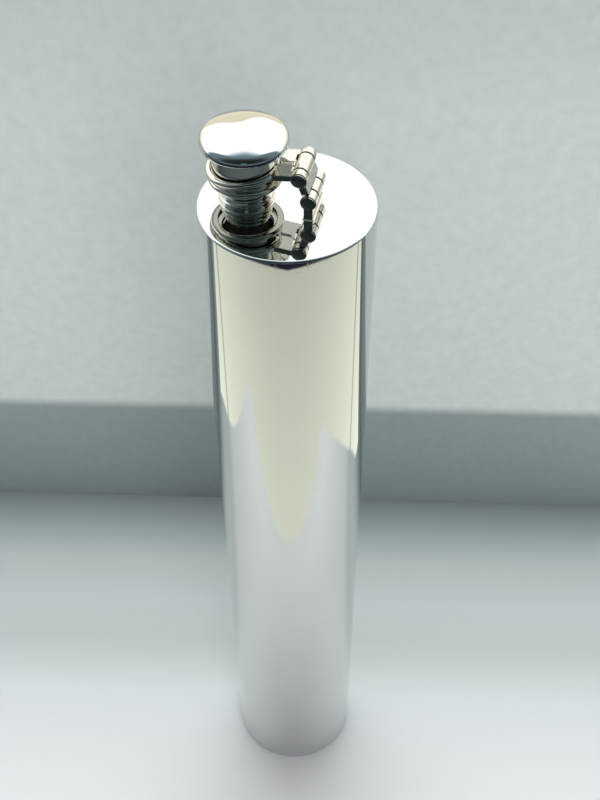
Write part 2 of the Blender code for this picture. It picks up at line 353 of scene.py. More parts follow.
@dataclass(frozen=True)
class Layout:
    """Places on the flask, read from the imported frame."""

    plate_top: float
    shoulder: float
    foot: float
    neck_x: float
    neck_top: float
    lip_bottom: float
    crown_under: float
    lower_pin: Vector
    upper_pin: Vector

    @classmethod
    def read(cls) -> "Layout":
        """Take heights and radii from the CAD nodes' boxes and the pins from the joints.

        Returns:
            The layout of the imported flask.
        """
        pins = {joint["name"]: joint for joint in frame["record"]["behaviour"]["joints"]}
        crown_low, crown_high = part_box("cap_crown")
        barrel_low, barrel_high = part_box("cap_barrel")
        shoulder, _, plate_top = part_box("top_plate")[1]
        return cls(
            plate_top=plate_top,
            shoulder=shoulder,
            foot=shoulder - TAPER,
            neck_x=(crown_low[0] + crown_high[0]) / 2.0,
            neck_top=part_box("neck")[1][2],
            lip_bottom=barrel_low[2],
            crown_under=barrel_high[2] + SEAM,
            lower_pin=Vector(pins["lower_hinge"]["pos_m"]),
            upper_pin=Vector(pins["upper_hinge"]["pos_m"]),
        )

    def over_neck(self) -> Matrix:
        """The frame of the neck's axis, at the height of the foot."""
        return Matrix.Translation((self.neck_x, 0.0, 0.0))


class NodeTree:
    """Short ways to add and link shader nodes."""

    def __init__(self, tree: bpy.types.NodeTree) -> None:
        """Keep the tree that the nodes go into."""
        self.tree = tree

    @classmethod
    def of_material(cls, name: str) -> tuple[bpy.types.Material, "NodeTree"]:
        """A new material and its nodes."""
        material = bpy.data.materials.new(name)
        material.use_nodes = True
        return material, cls(material.node_tree)

    def known(self, name: str) -> bpy.types.Node:
        """A node that the tree already holds."""
        return self.tree.nodes[name]

    def feed(self, node: bpy.types.Node, inputs: dict) -> None:
        """Set or link a node's inputs.

        Args:
            node: The node.
            inputs: Socket name or index to a value, or to an output socket to link.
        """
        for key, value in inputs.items():
            if isinstance(value, Socket):
                self.tree.links.new(value, node.inputs[key])
            else:
                node.inputs[key].default_value = value

    def add(self, kind: str, inputs: dict | None = None, **values: object) -> bpy.types.Node:
        """Add a node, set its properties, and set or link its inputs.

        Args:
            kind: The node's type name.
            inputs: Socket name or index to a value, or to an output socket to link.
            values: Properties of the node.

        Returns:
            The new node.
        """
        node = self.tree.nodes.new(kind)
        for name, value in values.items():
            setattr(node, name, value)
        self.feed(node, inputs or {})
        return node

    def place(self) -> Socket:
        """The point on the surface, in the object's own frame."""
        return self.add("ShaderNodeTexCoord").outputs["Object"]

    def maths(self, operation: str, *values: object) -> Socket:
        """One Math node's output."""
        return self.add("ShaderNodeMath", dict(enumerate(values)), operation=operation).outputs[0]

    def noise(self, place: Socket, scale: float, detail: float, **more: float) -> Socket:
        """A noise texture's value.

        Args:
            place: The point at which it is read.
            scale: Its scale.
            detail: Its detail.
            more: Its other inputs, named in lower case.

        Returns:
            The value's socket.
        """
        inputs = {"Vector": place, "Scale": scale, "Detail": detail}
        inputs.update({name.capitalize(): value for name, value in more.items()})
        return self.add("ShaderNodeTexNoise", inputs).outputs["Fac"]

    def slope(self, value: Socket, start: float, end: float, low: float = 0.0,
              high: float = 1.0) -> Socket:
        """A straight slope from low at start to high at end, level outside them."""
        return self.add("ShaderNodeMapRange", {"Value": value, "From Min": start, "From Max": end,
                                               "To Min": low, "To Max": high}).outputs[0]

    def span(self, value: Socket, start: float, end: float) -> Socket:
        """A smooth step from 0 at start to 1 at end."""
        return self.add("ShaderNodeMapRange", {"Value": value, "From Min": start, "From Max": end},
                        interpolation_type="SMOOTHSTEP").outputs[0]

    def blend(self, share: Socket, first: Socket | Colour, second: Socket | Colour) -> Socket:
        """Mix two colours, either of which may be plain; a plain one may pass 1.

        Args:
            share: Share of the second colour.
            first: The colour for a share of 0.
            second: The colour for a share of 1.

        Returns:
            The mixed colour's socket.
        """
        inputs = {"Factor": share}
        for index, colour in ((6, first), (7, second)):
            linked = isinstance(colour, Socket)
            inputs[index] = colour if linked else (*colour, 1.0)
        return self.add("ShaderNodeMix", inputs, data_type="RGBA", clamp_factor=True).outputs[2]

    def ramp(self, factor: Socket, stops: Iterable[Stop]) -> Socket:
        """A colour ramp.

        Args:
            factor: The value that picks the colour.
            stops: Places from 0 to 1 with their colours, in order.

        Returns:
            The colour's socket.
        """
        node = self.add("ShaderNodeValToRGB", {0: factor})
        elements = node.color_ramp.elements
        for index, (place, colour) in enumerate(stops):
            element = elements[index] if index < len(elements) else elements.new(place)
            element.position = place
            element.color = (*colour, 1.0)
        return node.outputs[0]


class PolishGroup:
    """Node group for hand-polished metal: soft haze, hairlines and a slow waviness.

    Attributes:
        name: Name of the group.
        inputs: Its number inputs, each with its first value.
        cloud: Scale of the wiped clouds.
        cloud_span: Cloud values between which the metal turns hazy.
        smudge: Scale of the finger marks.
        smudge_span: Smudge values between which a mark comes up.
        swell: Scale of the slow waviness.
        lays: Stretch and turn of each of the two ways in which the fine lines run.
        line_span: Grain values between which a line comes up.
        line_roughness: Roughness that a full line adds.
        line_depth: Depth of a full line, as a share of the relief.
        dulled: Colour of tarnished metal.
    """

    name = "polish_marks"
    inputs = {"Base Roughness": 0.03, "Haze": 0.04, "Hairlines": 0.3, "Waviness": 0.5, "Tarnish": 0.2}
    cloud = 45.0
    cloud_span = (0.42, 0.72)
    smudge = 210.0
    smudge_span = (0.5, 0.8)
    swell = 16.0
    lays = (((900.0, 900.0, 25.0), 0.10), ((60.0, 700.0, 1400.0), 0.55))
    line_span = (0.62, 0.70)
    line_roughness = 0.08
    line_depth = 0.004
    dulled = (0.50, 0.47, 0.40)

    @classmethod
    def get(cls) -> bpy.types.NodeTree:
        """The group, built the first time that it is asked for."""
        known = bpy.data.node_groups.get(cls.name)
        return known if known is not None else cls.build()

    @classmethod
    def build(cls) -> bpy.types.NodeTree:
        """Build the group with its named inputs and outputs.

        Returns:
            The group.
        """
        tree = bpy.data.node_groups.new(cls.name, "ShaderNodeTree")
        for socket, start in cls.inputs.items():
            tree.interface.new_socket(socket, in_out="INPUT", socket_type="NodeSocketFloat")
            tree.interface.items_tree[socket].default_value = start
        tree.interface.new_socket("Colour", in_out="INPUT", socket_type="NodeSocketColor")
        tree.interface.new_socket("Tint", in_out="OUTPUT", socket_type="NodeSocketColor")
        for socket in ("Roughness", "Height"):
            tree.interface.new_socket(socket, in_out="OUTPUT", socket_type="NodeSocketFloat")
        nodes = NodeTree(tree)
        given = nodes.add("NodeGroupInput").outputs
        place = nodes.place()

        cloud = nodes.noise(place, cls.cloud, 5.0, roughness=0.6)
        patch = nodes.slope(cloud, *cls.cloud_span)
        speck = nodes.slope(nodes.noise(place, cls.smudge, 3.0, distortion=1.4), *cls.smudge_span)
        marks = nodes.maths("ADD", patch, nodes.maths("MULTIPLY", speck, 0.5))
        film = nodes.maths("MULTIPLY", marks, given["Haze"])
        hair = nodes.maths("MULTIPLY", cls.lines(nodes, place), given["Hairlines"])
        worn = nodes.maths("ADD", film, nodes.maths("MULTIPLY", hair, cls.line_roughness))
        wave = nodes.maths("MULTIPLY", nodes.noise(place, cls.swell, 1.0), given["Waviness"])
        scratch = nodes.maths("MULTIPLY", hair, -cls.line_depth)
        dull = nodes.maths("MULTIPLY", nodes.maths("MULTIPLY", cloud, patch), given["Tarnish"])
        nodes.add("NodeGroupOutput", {
            "Tint": nodes.blend(dull, given["Colour"], cls.dulled),
            "Roughness": nodes.maths("ADD", given["Base Roughness"], worn),
            "Height": nodes.maths("ADD", wave, scratch)})
        return tree

    @classmethod
    def lines(cls, nodes: NodeTree, place: Socket) -> Socket:
        """Fine lines left by wiping, which run two ways.

        Args:
            nodes: The group's nodes.
            place: The point on the surface.

        Returns:
            1 on a line and 0 beside it.
        """
        ways = []
        for stretch, turn in cls.lays:
            laid = nodes.add("ShaderNodeMapping", {"Vector": place, "Rotation": (turn, turn * 0.4, turn),
                                                   "Scale": stretch}).outputs[0]
            ways.append(nodes.slope(nodes.noise(laid, 1.0, 2.0), *cls.line_span))
        return nodes.maths("MAXIMUM", *ways)


@dataclass(frozen=True)
class PewterFinish:
    """A polished pewter surface.

    Attributes:
        name: Material name.
        colour: Reflectance of the clean metal.
        roughness: Roughness of the best-polished spots.
        haze: Roughness added by fingerprints and wiping.
        hairlines: Strength of fine scratches.
        waviness: Strength of the slow undulation that hand polishing leaves.
        tarnish: Strength of the darker, warmer patches.
        relief: Depth of the relief where its height is 1.
    """

    name: str
    colour: Colour = (0.67, 0.665, 0.625)
    roughness: float = 0.03
    haze: float = 0.03
    hairlines: float = 0.4
    waviness: float = 0.5
    tarnish: float = 0.15
    relief: float = 0.05 * MM

    def make(self) -> bpy.types.Material:
        """Build the material.

        Returns:
            The new material.
        """
        material, nodes = NodeTree.of_material(self.name)
        marks = nodes.add("ShaderNodeGroup", {
            "Base Roughness": self.roughness, "Haze": self.haze, "Hairlines": self.hairlines,
            "Waviness": self.waviness, "Tarnish": self.tarnish, "Colour": (*self.colour, 1.0),
        }, node_tree=PolishGroup.get()).outputs
        bump = nodes.add("ShaderNodeBump", {"Height": marks["Height"], "Strength": 1.0,
                                            "Distance": self.relief})
        nodes.feed(nodes.known("Principled BSDF"), {
            "Metallic": 1.0, "Base Color": marks["Tint"], "Roughness": marks["Roughness"],
            "Normal": bump.outputs["Normal"]})
        return material


@dataclass(frozen=True)
class RubberFinish:
    """Matt black rubber with a fine grain.

    Attributes:
        name: Material name.
        colour: Colour of the clean rubber.
        bloom: Colour of its paler specks.
        bloom_span: Grain values between which the rubber turns paler.
        rough_span: Lowest and highest roughness.
        grain: Scale of the grain.
        relief: Depth of the grain.
        relief_strength: How much of that depth shows.
    """

    name: str = "seal_rubber"
    colour: Colour = (0.035, 0.035, 0.035)
    bloom: Colour = (0.085, 0.083, 0.080)
    bloom_span: tuple[float, float] = (0.35, 0.75)
    rough_span: tuple[float, float] = (0.65, 0.9)
    grain: float = 900.0
    relief: float = 0.03 * MM
    relief_strength: float = 0.4

    def make(self) -> bpy.types.Material:
        """Build the material.

        Returns:
            The new material.
        """
        material, nodes = NodeTree.of_material(self.name)
        grain = nodes.noise(nodes.place(), self.grain, 4.0)
        bump = nodes.add("ShaderNodeBump", {"Height": grain, "Strength": self.relief_strength,
                                            "Distance": self.relief})
        nodes.feed(nodes.known("Principled BSDF"), {
            "Base Color": nodes.ramp(grain, zip(self.bloom_span, (self.colour, self.bloom))),
            "Roughness": nodes.slope(grain, 0.0, 1.0, *self.rough_span),
            "Normal": bump.outputs["Normal"]})
        return material


def dress(item: bpy.types.Object, material: bpy.types.Material) -> None:
    """Give an object one material."""
    item.data.materials.clear()
    item.data.materials.append(material)


def hand_over(item: bpy.types.Object, material: bpy.types.Material, body: Body, slot: Slot,
              *nodes: str, crease: float = CREASE) -> None:
    """Shade and dress a finished piece and set it on its body in place of the plain solids.

    Args:
        item: The finished piece.
        material: Its finish.
        body: The rigid body that it rides on.
        slot: The record's slot for its finish; not used.
        nodes: The CAD nodes that it replaces.
        crease: Angle in degrees up to which it is shaded smooth.
    """
    Bench.smooth(item, crease)
    dress(item, material)
    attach(item, body.value)
    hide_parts(*nodes)
    LOG.info("%s rides on %s for %s: %d faces", item.name, body.value, ", ".join(nodes),
             len(item.data.polygons))


@dataclass(frozen=True)
class FlaskBody:
    """The seamless polished shell and the base disc inside its foot."""

    layout: Layout
    material: bpy.types.Material
    wall: float = 1.0 * MM
    shoulder_rounding: float = 0.6 * MM
    foot_rounding: float = 0.8 * MM
    spigot_hole: float = 5.4 * MM
    recess: float = 1.0 * MM
    base: float = 1.2 * MM
    base_easing: float = 0.4 * MM
    base_hollow: float = 0.1 * MM
    sides: int = 256
    hole_sides: int = 96
    base_sides: int = 128

    def shell_profile(self) -> list[Point]:
        """Outline from the middle of the top plate, down the outside and up the inside.

        Returns:
            Points of (radius, height).
        """
        where = self.layout
        corner = where.shoulder - self.shoulder_rounding
        profile = [(0.0, where.plate_top)]
        profile += rounded((corner, where.plate_top - self.shoulder_rounding),
                           self.shoulder_rounding, 90.0, 0.0, 10)
        profile += rounded((where.foot - self.foot_rounding, self.foot_rounding),
                           self.foot_rounding, 0.0, -90.0, 6)
        under = where.plate_top - PLATE
        profile += [
            (where.foot - self.wall, 0.0),
            (where.shoulder - self.wall, under - self.wall),
            (where.shoulder - 2.0 * self.wall, under),
            (0.0, under),
        ]
        return profile

    def build(self) -> None:
        """Turn the shell, drill the neck's hole and seat the base disc."""
        where = self.layout
        shell = Bench.lathe("polished_shell", self.shell_profile(), self.sides)
        high, low = where.plate_top + PLATE, where.plate_top - 2.0 * PLATE
        drill = Bench.plug("neck_drill", self.spigot_hole, low, high, self.hole_sides,
                           where.over_neck())
        Bench.combine(shell, drill, "DIFFERENCE")
        hand_over(shell, self.material, Body.FLASK, Slot.PEWTER, "body_wall", "top_plate")

        edge, ease = where.foot - self.wall, self.base_easing
        top = self.recess + self.base
        disc = Bench.lathe("base_disc", [
            (0.0, top), (edge, top),
            *rounded((edge - ease, self.recess - ease), ease, 0.0, 90.0, 5),
            (edge / 2.0, self.recess + self.base_hollow / 2.0),
            (0.0, self.recess + self.base_hollow)], self.base_sides)
        hand_over(disc, self.material, Body.FLASK, Slot.PEWTER, "base_plate")


@dataclass(frozen=True)
class Thread:
    """A helical ridge raised on, or sunk into, a turned wall.

    Attributes:
        low: Height of its lower end.
        high: Height of its upper end.
        depth: Radial height of the ridge; negative for a ridge that stands inwards.
        phase: Turn of its start, as a share of a full turn.
        fade: Length along the height over which it runs out at each end.
        flank: Steepness of its sides, as height for each share of the pitch.
        land: How much higher it would stand if its crest weren't cut flat.
        near: How close a point lies to the wall to count as on it.
    """

    low: float
    high: float
    depth: float
    phase: float
    fade: float = 0.4 * MM
    flank: float = 3.2
    land: float = 1.35
    near: float = 0.02 * MM

    def ridge(self, height: float, angle: float) -> float:
        """Radial offset of the wall.

        Args:
            height: Height of the point.
            angle: Its turn about the axis, in radians.

        Returns:
            How far outwards the point moves.
        """
        if not self.low < height < self.high:
            return 0.0
        turn = (height / PITCH - angle / math.tau - self.phase) % 1.0
        crest = max(0.0, 1.0 - abs(turn - 0.5) * self.flank)
        crest = min(1.0, crest * self.land)
        crest = crest * crest * (3.0 - 2.0 * crest)
        inside = min(height - self.low, self.high - height)
        return self.depth * crest * min(1.0, inside / self.fade)

    def cut(self, item: bpy.types.Object, wall: Callable[[float], float], axis_x: float) -> None:
        """Shift the wall's points along their radii.

        Args:
            item: A turned mesh, in its place.
            wall: Radius of the plain wall at a height.
            axis_x: X of the wall's upright axis.
        """
        for vertex in item.data.vertices:
            x, y, z = vertex.co.x - axis_x, vertex.co.y, vertex.co.z
            reach = math.hypot(x, y)
            if abs(reach - wall(z)) < self.near:
                grown = 1.0 + self.ridge(z, math.atan2(y, x)) / reach
                vertex.co.x = axis_x + x * grown
                vertex.co.y = y * grown


@dataclass(frozen=True)
class ThreadedNeck:
    """The spout: a threaded collar that flares to the plate, with its spigot through the plate."""

    layout: Layout
    material: bpy.types.Material
    root: float = 5.35 * MM
    flare: float = 1.3 * MM
    bore: float = 4.8 * MM
    bore_easing: float = 0.1 * MM
    spigot: float = 5.3 * MM
    mouth: float = 0.25 * MM
    solder: float = 0.3 * MM
    ridge: float = 0.3 * MM
    thread_start: float = 0.1
    sides: int = 160
    wall_steps: int = 72

    def wall(self, height: float) -> float:
        """Radius of the thread's root at a height."""
        low, high = self.layout.plate_top + self.solder, self.layout.neck_top - self.mouth
        return self.root + self.flare * (high - height) / (high - low)

    def build(self) -> None:
        """Turn the neck and raise its thread."""
        where = self.layout
        foot, top = where.plate_top, where.neck_top
        low, high = foot + self.solder, top - self.mouth
        wide = self.wall(low)
        profile = rounded((self.root - self.mouth, high), self.mouth, 90.0, 0.0, 6)
        profile += straight((self.root, high), (wide, low), self.wall_steps)
        profile += rounded((wide + self.solder, low), self.solder, 180.0, 270.0, 8)
        profile += [
            (self.spigot, foot - LAP),
            (self.spigot, foot - PLATE),
            (self.bore, foot - PLATE),
            (self.bore, top - self.bore_easing),
            (self.bore + self.bore_easing, top),
            profile[0],
        ]
        neck = Bench.lathe("threaded_neck", profile, self.sides, where.over_neck())
        Thread(low, high, self.ridge, self.thread_start).cut(neck, self.wall, where.neck_x)
        hand_over(neck, self.material, Body.FLASK, Slot.FITTINGS, "neck", crease=THREAD_CREASE)


@dataclass(frozen=True)
class ScrewCap:
    """Mushroom cap: domed crown, waisted barrel with a lip, and the seal."""

    layout: Layout
    material: bpy.types.Material
    crown_material: bpy.types.Material
    rubber: bpy.types.Material
    crown_radius: float = 10.65 * MM
    rim: float = 0.8 * MM
    dome: float = 4.0 * MM
    shoulder: float = 2.0 * MM
    undercut: float = 0.3 * MM
    undercut_depth: float = 0.1 * MM
    crown_seat: float = 0.2 * MM
    lip_radius: float = 9.1 * MM
    lip: float = 1.5 * MM
    mouth: float = 7.3 * MM
    mouth_depth: float = 1.9 * MM
    mouth_easing: float = 0.2 * MM
    waist: float = 7.9 * MM
    waist_top: float = 7.2 * MM
    waist_straight: float = 3.4 * MM
    cove: float = 0.4 * MM
    bore: float = 6.5 * MM
    ridge: float = 0.28 * MM
    thread_start: float = 0.6
    seal_easing: float = 0.1 * MM
    seal_chamfer: float = 0.15 * MM
    groove: tuple[float, float] = (5.2 * MM, 5.9 * MM)
    groove_floor: tuple[float, float] = (5.4 * MM, 5.7 * MM)
    groove_depth: float = 0.12 * MM
    sides: int = 192
    seal_sides: int = 96
    waist_steps: int = 12
    bore_steps: int = 80

    def dome_profile(self, rim_top: float) -> list[Point]:
        """A wide arc from the apex that runs on into the rounded shoulder.

        Args:
            rim_top: Height at which the shoulder ends.

        Returns:
            Points of (radius, height).
        """
        inset = self.crown_radius - self.shoulder
        lean = 2.0 * math.atan2(self.dome - self.shoulder, inset)
        sphere = self.shoulder + inset / math.sin(lean)
        turn = 90.0 - math.degrees(lean)
        points = [(0.0, rim_top + self.dome)]
        points += rounded((0.0, rim_top + self.dome - sphere), sphere, 90.0, turn, 36)[1:]
        points += rounded((inset, rim_top), self.shoulder, turn, 0.0, 24)[1:]
        return points

    def crown_profile(self, seal_top: float) -> list[Point]:
        """Dome, rounded rim, undercut and spigot.

        Args:
            seal_top: Height of the spigot's lower end, over the seal.

        Returns:
            Points of (radius, height).
        """
        under = self.layout.crown_under
        edge = self.rim / 2.0
        profile = self.dome_profile(under + self.rim)
        profile += rounded((self.crown_radius - edge, under + edge), edge, 0.0, -90.0, 10)
        profile += [
            (self.waist_top + self.undercut, under + self.undercut_depth),
            (self.waist_top - self.crown_seat, under - LAP),
            (self.bore - SEAM, under - LAP),
            (self.bore - SEAM, seal_top),
            (0.0, seal_top),
        ]
        return profile

    def barrel_profile(self) -> list[Point]:
        """Waist, cove and round-edged lip outside; threaded bore inside.

        Returns:
            Points of (radius, height).
        """
        bottom, top = self.layout.lip_bottom, self.layout.crown_under
        lip_top = bottom + self.lip
        edge, ease = self.lip / 2.0, self.mouth_easing
        taper = lip_top + self.waist_straight
        inner = bottom + self.mouth_depth
        profile = [(self.waist_top, top)]
        profile += straight(profile[0], (self.waist, taper), self.waist_steps)
        profile.append((self.waist, taper))
        profile += rounded((self.waist + self.cove, lip_top + self.cove), self.cove,
                           180.0, 270.0, 8)
        profile += rounded((self.lip_radius - edge, lip_top - edge), edge, 90.0, -90.0, 16)
        profile += [(self.mouth + ease, bottom), (self.mouth, bottom + ease),
                    (self.mouth, inner - ease), (self.bore, inner)]
        profile += straight(profile[-1], (self.bore, top), self.bore_steps)
        profile += [(self.bore, top), (self.waist_top, top)]
        return profile

    def seal_profile(self, low: float, high: float) -> list[Point]:
        """Rubber disc with a shallow groove near its edge.

        Args:
            low: Height of its lower face.
            high: Height of its upper face.

        Returns:
            Points of (radius, height).
        """
        edge = self.bore - SEAM
        floor = low + self.groove_depth
        return [
            (0.0, high), (edge - self.seal_easing, high), (edge, high - self.seal_easing),
            (edge, low + self.seal_chamfer), (edge - self.seal_chamfer, low),
            (self.groove[1], low), (self.groove_floor[1], floor),
            (self.groove_floor[0], floor), (self.groove[0], low), (0.0, low)]

    def build(self) -> None:
        """Turn the crown, the barrel and the seal, and set them over the neck."""
        where, place = self.layout, self.layout.over_neck()
        seal_low, seal_high = (corner[2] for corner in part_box("cap_seal"))
        crown_profile = self.crown_profile(seal_high + SEAM)
        crown = Bench.lathe("domed_crown", crown_profile, self.sides, place)
        hand_over(crown, self.crown_material, Body.CAP, Slot.PEWTER, "cap_crown")

        barrel = Bench.lathe("waisted_barrel", self.barrel_profile(), self.sides, place)
        thread = Thread(where.lip_bottom + self.mouth_depth, seal_low, -self.ridge,
                        self.thread_start)
        thread.cut(barrel, lambda height: self.bore, where.neck_x)
        hand_over(barrel, self.material, Body.CAP, Slot.FITTINGS, "cap_barrel",
                  crease=THREAD_CREASE)

        seal_profile = self.seal_profile(seal_low, seal_high)
        seal = Bench.lathe("rubber_seal", seal_profile, self.seal_sides, place)
        hand_over(seal, self.rubber, Body.SEAL, Slot.SEAL, "cap_seal")


@dataclass(frozen=True)
class HingeSizes:
    """Sizes that the pieces of the arm share."""

    width: float = 11.0 * MM
    ring_knuckle: float = 2.1 * MM
    bracket_knuckle: float = 2.9 * MM
    gap: float = 0.4 * MM
    barrel: float = 2.0 * MM
    leaf_inset: float = 0.1 * MM
    easing: float = 0.14 * MM
    sides: int = 64

    @property
    def half(self) -> float:
        """Half of the barrel's length."""
        return self.width / 2.0

    @property
    def clear(self) -> float:
        """Radius that a neighbour keeps free round the barrel."""
        return self.barrel + self.gap

    def outer_pair(self, name: str, length: float) -> list[bpy.types.Object]:
        """Two outer knuckles of one length.

        Args:
            name: Start of their names.
            length: Length of each.

        Returns:
            Both knuckles.
        """
        start = self.half - length
        return [
            Bench.bar(name + "_a", self.barrel, -self.half, -start, self.sides, self.easing),
            Bench.bar(name + "_b", self.barrel, start, self.half, self.sides, self.easing),
        ]

    def middle_one(self, name: str, outer: float) -> bpy.types.Object:
        """The middle knuckle that runs between two outer ones."""
        end = self.half - outer - self.gap
        return Bench.bar(name, self.barrel, -end, end, self.sides, self.easing)

    def room(self, name: str, outer: float) -> bpy.types.Object:
        """Cutter for the middle knuckle's running room."""
        reach = self.half - outer
        return Bench.bar(name, self.clear, -reach, reach, self.sides)


@dataclass(frozen=True)
class HingeBracket:
    """Upright leaf soldered to the top plate, with two outer knuckles."""

    layout: Layout
    sizes: HingeSizes
    material: bpy.types.Material
    web: float = 2.2 * MM
    chamfer: float = 0.05 * MM
    solder: float = 0.5 * MM
    solder_sunk: float = 0.05 * MM
    solder_steps: int = 5

    def build(self) -> None:
        """Cut the leaf, join the knuckles and run the solder round its foot."""
        sizes, where, solder = self.sizes, self.layout, self.solder
        half = self.web / 2.0
        reach = sizes.half - sizes.leaf_inset
        foot = where.plate_top - where.lower_pin.z
        leaf = Bench.box("hinge_leaf", (-half, -reach, foot), (half, reach, 0.0), self.chamfer, 1)
        Bench.combine(leaf, sizes.room("leaf_room", sizes.bracket_knuckle), "DIFFERENCE")
        for knuckle in sizes.outer_pair("leaf_knuckle", sizes.bracket_knuckle):
            Bench.combine(leaf, knuckle, "UNION")
        fillet = Bench.box("solder", (-half - solder, -reach - solder, foot - self.solder_sunk),
                           (half + solder, reach + solder, foot + solder))
        self.draw_in(fillet, half, reach, foot)
        Bench.combine(leaf, fillet, "UNION")
        Bench.settle(leaf, Matrix.Translation(where.lower_pin))
        hand_over(leaf, self.material, Body.FLASK, Slot.FITTINGS, "hinge_bracket")

    def draw_in(self, fillet: bpy.types.Object, half: float, reach: float, foot: float) -> None:
        """Draw the solder's top in to the leaf, in a hollow curve.

        Args:
            fillet: A block round the leaf's foot.
            half: Half of the leaf's thickness.
            reach: Half of the leaf's width.
            foot: Height of the leaf's foot.
        """
        Bench.pick_up(fillet)
        bpy.ops.object.mode_set(mode="EDIT")
        for step in range(1, self.solder_steps):
            height = foot + self.solder * step / self.solder_steps
            bpy.ops.mesh.select_all(action="SELECT")
            bpy.ops.mesh.bisect(plane_co=(0.0, 0.0, height), plane_no=UPRIGHT)
        bpy.ops.object.mode_set(mode="OBJECT")
        for vertex in fillet.data.vertices:
            share = max(0.0, (vertex.co.z - foot) / self.solder)
            hollow = 1.0 - math.sqrt(max(0.0, 1.0 - (1.0 - share) ** 2))
            spread = self.solder * hollow - LAP * share
            vertex.co.x = math.copysign(half + spread, vertex.co.x)
            vertex.co.y = math.copysign(reach + spread, vertex.co.y)


@dataclass(frozen=True)
class HingeLink:
    """Link: a flat web between the two barrels, joined to a middle knuckle at each end."""

    layout: Layout
    sizes: HingeSizes
    material: bpy.types.Material
    web: float = 1.9 * MM
    width: float = 10.4 * MM
    easing: float = 0.2 * MM
    easing_steps: int = 4

    def build(self) -> None:
        """Model the link upright on the lower pin, then lean it to the upper pin."""
        sizes, where = self.sizes, self.layout
        span = where.upper_pin - where.lower_pin
        lean = math.atan2(span.x, span.z)
        thick, half = self.web / 2.0, self.width / 2.0
        head = Matrix.Translation((0.0, 0.0, span.length))
        link = Bench.box("arm_link", (-thick, -half, sizes.gap),
                         (thick, half, span.length - sizes.gap), self.easing, self.easing_steps)
        ends = ((Matrix(), sizes.bracket_knuckle), (head, sizes.ring_knuckle))
        for place, outer in ends:
            start = sizes.half - outer - sizes.gap - sizes.leaf_inset
            for name, low, high in (("room_a", -sizes.half, -start), ("room_b", start, sizes.half)):
                room = Bench.settle(Bench.bar(name, sizes.clear, low, high, sizes.sides), place)
                Bench.combine(link, room, "DIFFERENCE")
        for place, outer in ends:
            knuckle = Bench.settle(sizes.middle_one("middle_knuckle", outer), place)
            Bench.combine(link, knuckle, "UNION")
        Bench.settle(link, Matrix.Translation(where.lower_pin) @ Matrix.Rotation(lean, 4, "Y"))
        hand_over(link, self.material, Body.LINK, Slot.FITTINGS, "hinge_link")


@dataclass(frozen=True)
class HingePin:
    """Riveted pin whose low domed heads close the ends of a barrel."""

    sizes: HingeSizes
    material: bpy.types.Material
    radius: float = 0.8 * MM
    head: float = 1.8 * MM
    edge: float = 0.3 * MM
    dome: float = 0.1 * MM
    dome_steps: int = 10
    sides: int = 48

    def build(self, name: str, place: Vector, body: Body, node: str) -> None:
        """Turn one pin and lay it along a hinge axis.

        Args:
            name: Name of the new piece.
            place: Middle of the barrel.
            body: The body that the pin is riveted to.
            node: The CAD node that it replaces.
        """
        seat = self.sizes.half
        top = seat + self.edge + self.dome
        sphere = (self.head ** 2 + self.dome ** 2) / (2.0 * self.dome)
        upper = []
        for step in range(self.dome_steps + 1):
            reach = self.head * step / self.dome_steps
            drop = sphere - math.sqrt(sphere ** 2 - reach ** 2)
            upper.append((reach, top - drop))
        upper += [(self.head, seat), (self.radius, seat)]
        profile = upper + [(reach, -height) for reach, height in reversed(upper)]
        laid = Matrix.Translation(place) @ Matrix.Rotation(math.pi / 2.0, 4, "X")
        pin = Bench.lathe(name, profile, self.sides, laid)
        hand_over(pin, self.material, body, Slot.FITTINGS, node)


